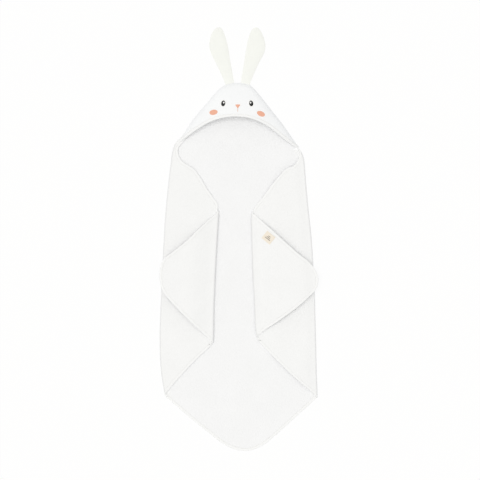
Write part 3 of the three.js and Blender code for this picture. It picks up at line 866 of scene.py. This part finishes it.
EAR_HALF = 0.0031
EAR_LEVEL = 0.0034
EAR_GRID = 0.004
EAR_ROUND = 0.016
LEFT_EAR_LINE = [
    (-37, 418), (-39.1, 424.4), (-44, 437.6), (-51.9, 456), (-60.6, 474.4), (-70.3, 492.8),
    (-78.2, 510.3), (-82.3, 525), (-82.7, 538.5), (-80.3, 552.4), (-75, 565.6), (-68.5, 575.2),
    (-62.4, 580), (-56.2, 581), (-50.1, 578.5), (-44.8, 571), (-39.6, 557.7), (-35.2, 543.7),
    (-31.2, 526), (-28.7, 510.3), (-26.4, 494.6), (-23.8, 480.5), (-21.2, 466.5), (-18.2, 450.7),
    (-14.7, 428.8), (-14.5, 418),
]
RIGHT_EAR_LINE = [
    (3.5, 418), (3.7, 428.8), (6.4, 447.2), (9.5, 464.7), (12.2, 480.5), (14.4, 496.3),
    (16.9, 512), (19.2, 526), (22.3, 542), (26.2, 556), (30.6, 568), (36.7, 577.5), (42.8, 581),
    (49, 580.5), (55.1, 575.5), (61.3, 565.6), (66.5, 553.3), (70, 540.2), (71.4, 528),
    (69.5, 515.6), (64.8, 503.3), (57.8, 491), (49.9, 475.3), (41.1, 456), (33.2, 436.7),
    (28.8, 423.5), (27, 418),
]
ear_cotton = smooth_finish("ear_cotton", (0.905, 0.915, 0.89), 0.0007)


def make_ear(side, line):
    line = flowing(line, 0.003)
    xs = np.arange(line[:, 0].min(), line[:, 0].max(), EAR_GRID)
    ys = np.arange(line[:, 1].min(), line[:, 1].max(), EAR_GRID)
    points = np.stack(np.meshgrid(xs, ys), axis=-1).reshape(-1, 2)
    points = points[inside(points, line)]
    ring = np.vstack([line, line[:1]])
    points = points[away_from(points, ring) > 0.0015]
    flat = [Vector(p) for p in np.vstack([line, points])]
    verts, _, faces, *_ = geometry.delaunay_2d_cdt(flat, [], [list(range(len(line)))], 1, 1e-7, True)
    uv = np.array([tuple(v) for v in verts])
    faces = within(uv, faces, line)
    depth = away_from(uv, ring)
    puff = EAR_HALF * (1 - (1 - np.clip(depth / EAR_ROUND, 0, 1)) ** 2) ** 0.6
    puff *= 0.55 + 0.45 * ease(uv[:, 1], 0.425, 0.47)
    dent = 0.0004 * crinkle(uv[:, 0], uv[:, 1], 0.02, 2.0) * ease(depth, 0.003, 0.012)
    on_edge = depth < 1e-6
    front = np.column_stack([uv, EAR_LEVEL + puff + dent])
    back = np.column_stack([uv, EAR_LEVEL - puff])
    number = np.arange(len(uv))
    number[~on_edge] = len(uv) + np.arange(np.count_nonzero(~on_edge))
    both = faces + [tuple(int(number[i]) for i in f[::-1]) for f in faces]
    piece = new_piece(side + "_ear_pad", np.vstack([front, back[~on_edge]]), both,
                      np.vstack([uv, uv[~on_edge]]), ear_cotton)
    finish_modifiers(piece, angle=80)
    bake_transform(piece)
    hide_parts(side + "_ear_front", side + "_ear_back")


make_ear("left", LEFT_EAR_LINE)
make_ear("right", RIGHT_EAR_LINE)

# ---------------------------------------------------------------- face
# The face is machine embroidery: close satin stitches laid side by side, standing a little
# proud of the terry. Black eyes each have a white glint and a white ring, and the nose, the
# mouth and the cheeks are coral.

ABOVE = 0.08
UNIT = 0.001
# With no window, transform.rotate turns the other way.
TURN_SIGN = -1
STITCH_HEIGHT = 0.0011
EYE_SIZE = (11.0, 16.0)
EYE_RING_SIZE = (16.4, 21.4)
EYE_RING_WIDE = 0.0026
GLINT_SIZE = (4.0, 5.2)
GLINT_UP = 2.2

def satin_finish(name, colour, turn):
    """Rows of glossy thread lying side by side, turned to run across the patch."""
    made = bpy.data.materials.new(name)
    made.use_nodes = True
    nodes, links = made.node_tree.nodes, made.node_tree.links
    shader = nodes["Principled BSDF"]
    shader.inputs["Roughness"].default_value = 0.55
    shader.inputs["Specular IOR Level"].default_value = 0.3
    shader.inputs["Sheen Weight"].default_value = 0.075
    place = nodes.new("ShaderNodeTexCoord")
    mapping = nodes.new("ShaderNodeMapping")
    mapping.inputs["Rotation"].default_value = (0, 0, math.radians(turn))
    links.new(place.outputs["Object"], mapping.inputs["Vector"])
    rows = nodes.new("ShaderNodeTexWave")
    rows.inputs["Scale"].default_value = 1 / (0.0009 * math.pi) / 2
    rows.inputs["Distortion"].default_value = 1.2
    rows.inputs["Detail Scale"].default_value = 2
    fray = nodes.new("ShaderNodeTexNoise")
    fray.inputs["Scale"].default_value = 300
    for texture in (rows, fray):
        links.new(mapping.outputs["Vector"], texture.inputs["Vector"])
    shade = nodes.new("ShaderNodeMix")
    shade.data_type = "RGBA"
    shade.inputs["A"].default_value = (*[c * 0.86 for c in colour], 1)
    shade.inputs["B"].default_value = (*[min(1, c * 1.08 + 0.004) for c in colour], 1)
    blend = nodes.new("ShaderNodeMath")
    blend.operation = "MULTIPLY_ADD"
    blend.inputs[1].default_value = 0.6
    links.new(rows.outputs["Fac"], blend.inputs[0])
    half = nodes.new("ShaderNodeMath")
    half.operation = "MULTIPLY"
    half.inputs[1].default_value = 0.5
    links.new(fray.outputs["Fac"], half.inputs[0])
    links.new(half.outputs["Value"], blend.inputs[2])
    links.new(blend.outputs["Value"], shade.inputs["Factor"])
    links.new(shade.outputs["Result"], shader.inputs["Base Color"])
    bump = nodes.new("ShaderNodeBump")
    bump.inputs["Strength"].default_value = 0.6
    bump.inputs["Distance"].default_value = 0.0003
    links.new(rows.outputs["Fac"], bump.inputs["Height"])
    links.new(bump.outputs["Normal"], shader.inputs["Normal"])
    return made


def select_flat(piece):
    bpy.ops.object.select_all(action="DESELECT")
    bpy.context.view_layer.objects.active = piece
    piece.select_set(True)
    bpy.ops.object.mode_set(mode="EDIT")
    bpy.ops.mesh.select_all(action="SELECT")


def press_on(piece, ground, proud, thick, material):
    """Lays a flat patch on the cloth under it and gives it its thickness and rounded edge."""
    bpy.ops.object.mode_set(mode="OBJECT")
    bpy.ops.object.transform_apply(location=True, rotation=True, scale=True)
    press = piece.modifiers.new("press", "SHRINKWRAP")
    press.target = ground
    press.wrap_method = "PROJECT"
    press.use_project_z = True
    press.use_negative_direction = True
    press.use_positive_direction = False
    press.offset = proud
    grow = piece.modifiers.new("grow", "SOLIDIFY")
    grow.thickness = thick
    grow.offset = -1
    soften = piece.modifiers.new("soften", "BEVEL")
    soften.width = 0.3 * thick
    soften.segments = 2
    soften.angle_limit = math.radians(40)
    piece.data.materials.clear()
    piece.data.materials.append(material)
    finish_modifiers(piece, angle=60)


def turn_flat(turn, pivot):
    bpy.ops.transform.rotate(value=TURN_SIGN * math.radians(turn), orient_axis="Z",
                             center_override=pivot)


def patch(name, centre, width, height, turn, proud, material, slot, hole=None):
    """An embroidered oval, or a ring where it has a hole."""
    spot = (centre[0] / 1000, centre[1] / 1000, ABOVE)
    bpy.ops.object.select_all(action="DESELECT")
    bpy.ops.mesh.primitive_circle_add(vertices=32, radius=UNIT / 2, fill_type="NGON", location=spot)
    piece = bpy.context.object
    piece.name = piece.data.name = name
    select_flat(piece)
    bpy.ops.transform.resize(value=(width, height, 1), center_override=spot)
    if hole is None:
        bpy.ops.mesh.poke()
    else:
        bpy.ops.mesh.inset(thickness=hole, depth=0)
        bpy.ops.mesh.delete(type="FACE")
    bpy.ops.mesh.select_all(action="SELECT")
    bpy.ops.mesh.subdivide(number_cuts=2)
    turn_flat(turn, spot)
    press_on(piece, hood, proud, STITCH_HEIGHT, material)
    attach(piece, "towel")
    return piece


black = satin_finish("black_satin", (0.016, 0.016, 0.017), 80)
white = satin_finish("white_satin", (1, 1, 1), 20)
coral = satin_finish("coral_satin", (0.87, 0.45, 0.32), 100)

for side, centre, lean, glint in (
    ("left", (-44.4, 370.6), -8, 1.4), ("right", (32.2, 370.6), 8, -1.8),
):
    patch(side + "_eye_ring", centre, *EYE_RING_SIZE, lean, 0.0005, white, "white_thread",
          hole=EYE_RING_WIDE)
    eye = patch(side + "_eye_satin", centre, *EYE_SIZE, lean, 0.0007, black, "black_thread")
    spark = patch(side + "_glint_satin", (centre[0] + glint, centre[1] + GLINT_UP), *GLINT_SIZE,
                  lean, 0.0012, white, "white_thread")
    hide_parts(side + "_eye")
    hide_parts(side + "_eye_glint")

for side, centre, width, height, turn in (
    ("left", (-71.2, 346.2), 22.5, 14.3, 9), ("right", (59, 342.2), 23, 13.8, -24),
):
    cheek = patch(side + "_cheek_satin", centre, width, height, turn, 0.0007, coral, "coral_thread")
    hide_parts(side + "_cheek")

bpy.ops.object.select_all(action="DESELECT")
NOSE_SPOT = (-0.0046, 0.3637, ABOVE)
bpy.ops.mesh.primitive_circle_add(vertices=3, radius=0.007, fill_type="NGON", location=NOSE_SPOT)
nose = bpy.context.object
nose.name = nose.data.name = "nose_satin"
select_flat(nose)
bpy.ops.transform.rotate(value=math.pi, orient_axis="Z", center_override=NOSE_SPOT)
bpy.ops.transform.resize(value=(1.3, 1.06, 1), center_override=NOSE_SPOT)
bpy.ops.mesh.bevel(offset=0.0034, segments=5, affect="VERTICES")
bpy.ops.mesh.select_all(action="SELECT")
bpy.ops.mesh.poke()
bpy.ops.mesh.select_all(action="SELECT")
bpy.ops.mesh.subdivide(number_cuts=2)
press_on(nose, hood, 0.0007, STITCH_HEIGHT, coral)
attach(nose, "towel")
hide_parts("nose")

mouth_thread = satin_finish("mouth_satin", (0.78, 0.6, 0.53), 0)
mouth = patch("mouth_satin", (-4.7, 353.2), 1.8, 13.5, 0, 0.0006, mouth_thread, "coral_thread")
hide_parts("mouth_line")

# ---------------------------------------------------------------- label
# A small folded woven label lies square to the right corner's edge, sewn down all round with
# one row of thread. It carries three plain woven bars and no words.

LABEL_SPOT = (0.0793, 0.0029, ABOVE)
LABEL_TURN = -39
LABEL_WIDE = 29
LABEL_TALL = 25.5
LABEL_SEAM_INSET = 3.4
BAR_WIDE = 1.7


def label_finish():
    made = bpy.data.materials.new("label_weave")
    made.use_nodes = True
    nodes, links = made.node_tree.nodes, made.node_tree.links
    shader = nodes["Principled BSDF"]
    shader.inputs["Roughness"].default_value = 0.75
    shader.inputs["Specular IOR Level"].default_value = 0.25
    shader.inputs["Sheen Weight"].default_value = 0.08
    place = nodes.new("ShaderNodeTexCoord")
    mapping = nodes.new("ShaderNodeMapping")
    mapping.inputs["Rotation"].default_value = (0, 0, math.radians(-LABEL_TURN))
    links.new(place.outputs["Object"], mapping.inputs["Vector"])
    bands = []
    for direction in ("X", "Y"):
        thread = nodes.new("ShaderNodeTexWave")
        thread.bands_direction = direction
        thread.inputs["Scale"].default_value = 1 / (0.0006 * math.pi) / 2
        links.new(mapping.outputs["Vector"], thread.inputs["Vector"])
        bands.append(thread.outputs["Fac"])
    weave = nodes.new("ShaderNodeMath")
    weave.operation = "MULTIPLY"
    links.new(bands[0], weave.inputs[0])
    links.new(bands[1], weave.inputs[1])
    shade = nodes.new("ShaderNodeMix")
    shade.data_type = "RGBA"
    shade.inputs["A"].default_value = (0.84, 0.76, 0.66, 1)
    shade.inputs["B"].default_value = (0.95, 0.88, 0.78, 1)
    links.new(weave.outputs["Value"], shade.inputs["Factor"])
    links.new(shade.outputs["Result"], shader.inputs["Base Color"])
    bump = nodes.new("ShaderNodeBump")
    bump.inputs["Strength"].default_value = 0.4
    bump.inputs["Distance"].default_value = 0.0002
    links.new(weave.outputs["Value"], bump.inputs["Height"])
    links.new(bump.outputs["Normal"], shader.inputs["Normal"])
    return made


def label_part(name, wide, tall, proud, thick, material, cuts=9, down=0, hole=None):
    """A woven oblong, or a frame where it has a hole, turned with the label and laid on it."""
    x, y, z = LABEL_SPOT
    spot = (x, y + down / 1000, z)
    bpy.ops.object.select_all(action="DESELECT")
    bpy.ops.mesh.primitive_plane_add(size=UNIT, location=spot)
    piece = bpy.context.object
    piece.name = piece.data.name = name
    select_flat(piece)
    bpy.ops.transform.resize(value=(wide, tall, 1), center_override=spot)
    if hole is not None:
        bpy.ops.mesh.inset(thickness=hole, depth=0)
        bpy.ops.mesh.delete(type="FACE")
    bpy.ops.mesh.select_all(action="SELECT")
    bpy.ops.mesh.subdivide(number_cuts=cuts)
    turn_flat(LABEL_TURN, LABEL_SPOT)
    press_on(piece, right_corner, proud, thick, material)
    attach(piece, "right_tip")
    return piece


label = label_part("label_cloth", LABEL_WIDE, LABEL_TALL, 0.0009, 0.0008, label_finish())
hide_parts("label")
label_thread = satin_finish("label_thread", (0.86, 0.82, 0.74), 48)
seam = label_part("label_seam", LABEL_WIDE - LABEL_SEAM_INSET, LABEL_TALL - LABEL_SEAM_INSET,
                  0.0012, 0.0005, label_thread, hole=0.0007)
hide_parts("label_stitching")
mark_thread = satin_finish("label_mark_thread", (0.2, 0.18, 0.16), 48)
for number, (down, run) in enumerate(((-4, 17.0), (0, 12.0), (4, 7.0))):
    label_part("label_bar_" + str(number + 1), run, BAR_WIDE, 0.0011, 0.0005, mark_thread,
               cuts=5, down=down)
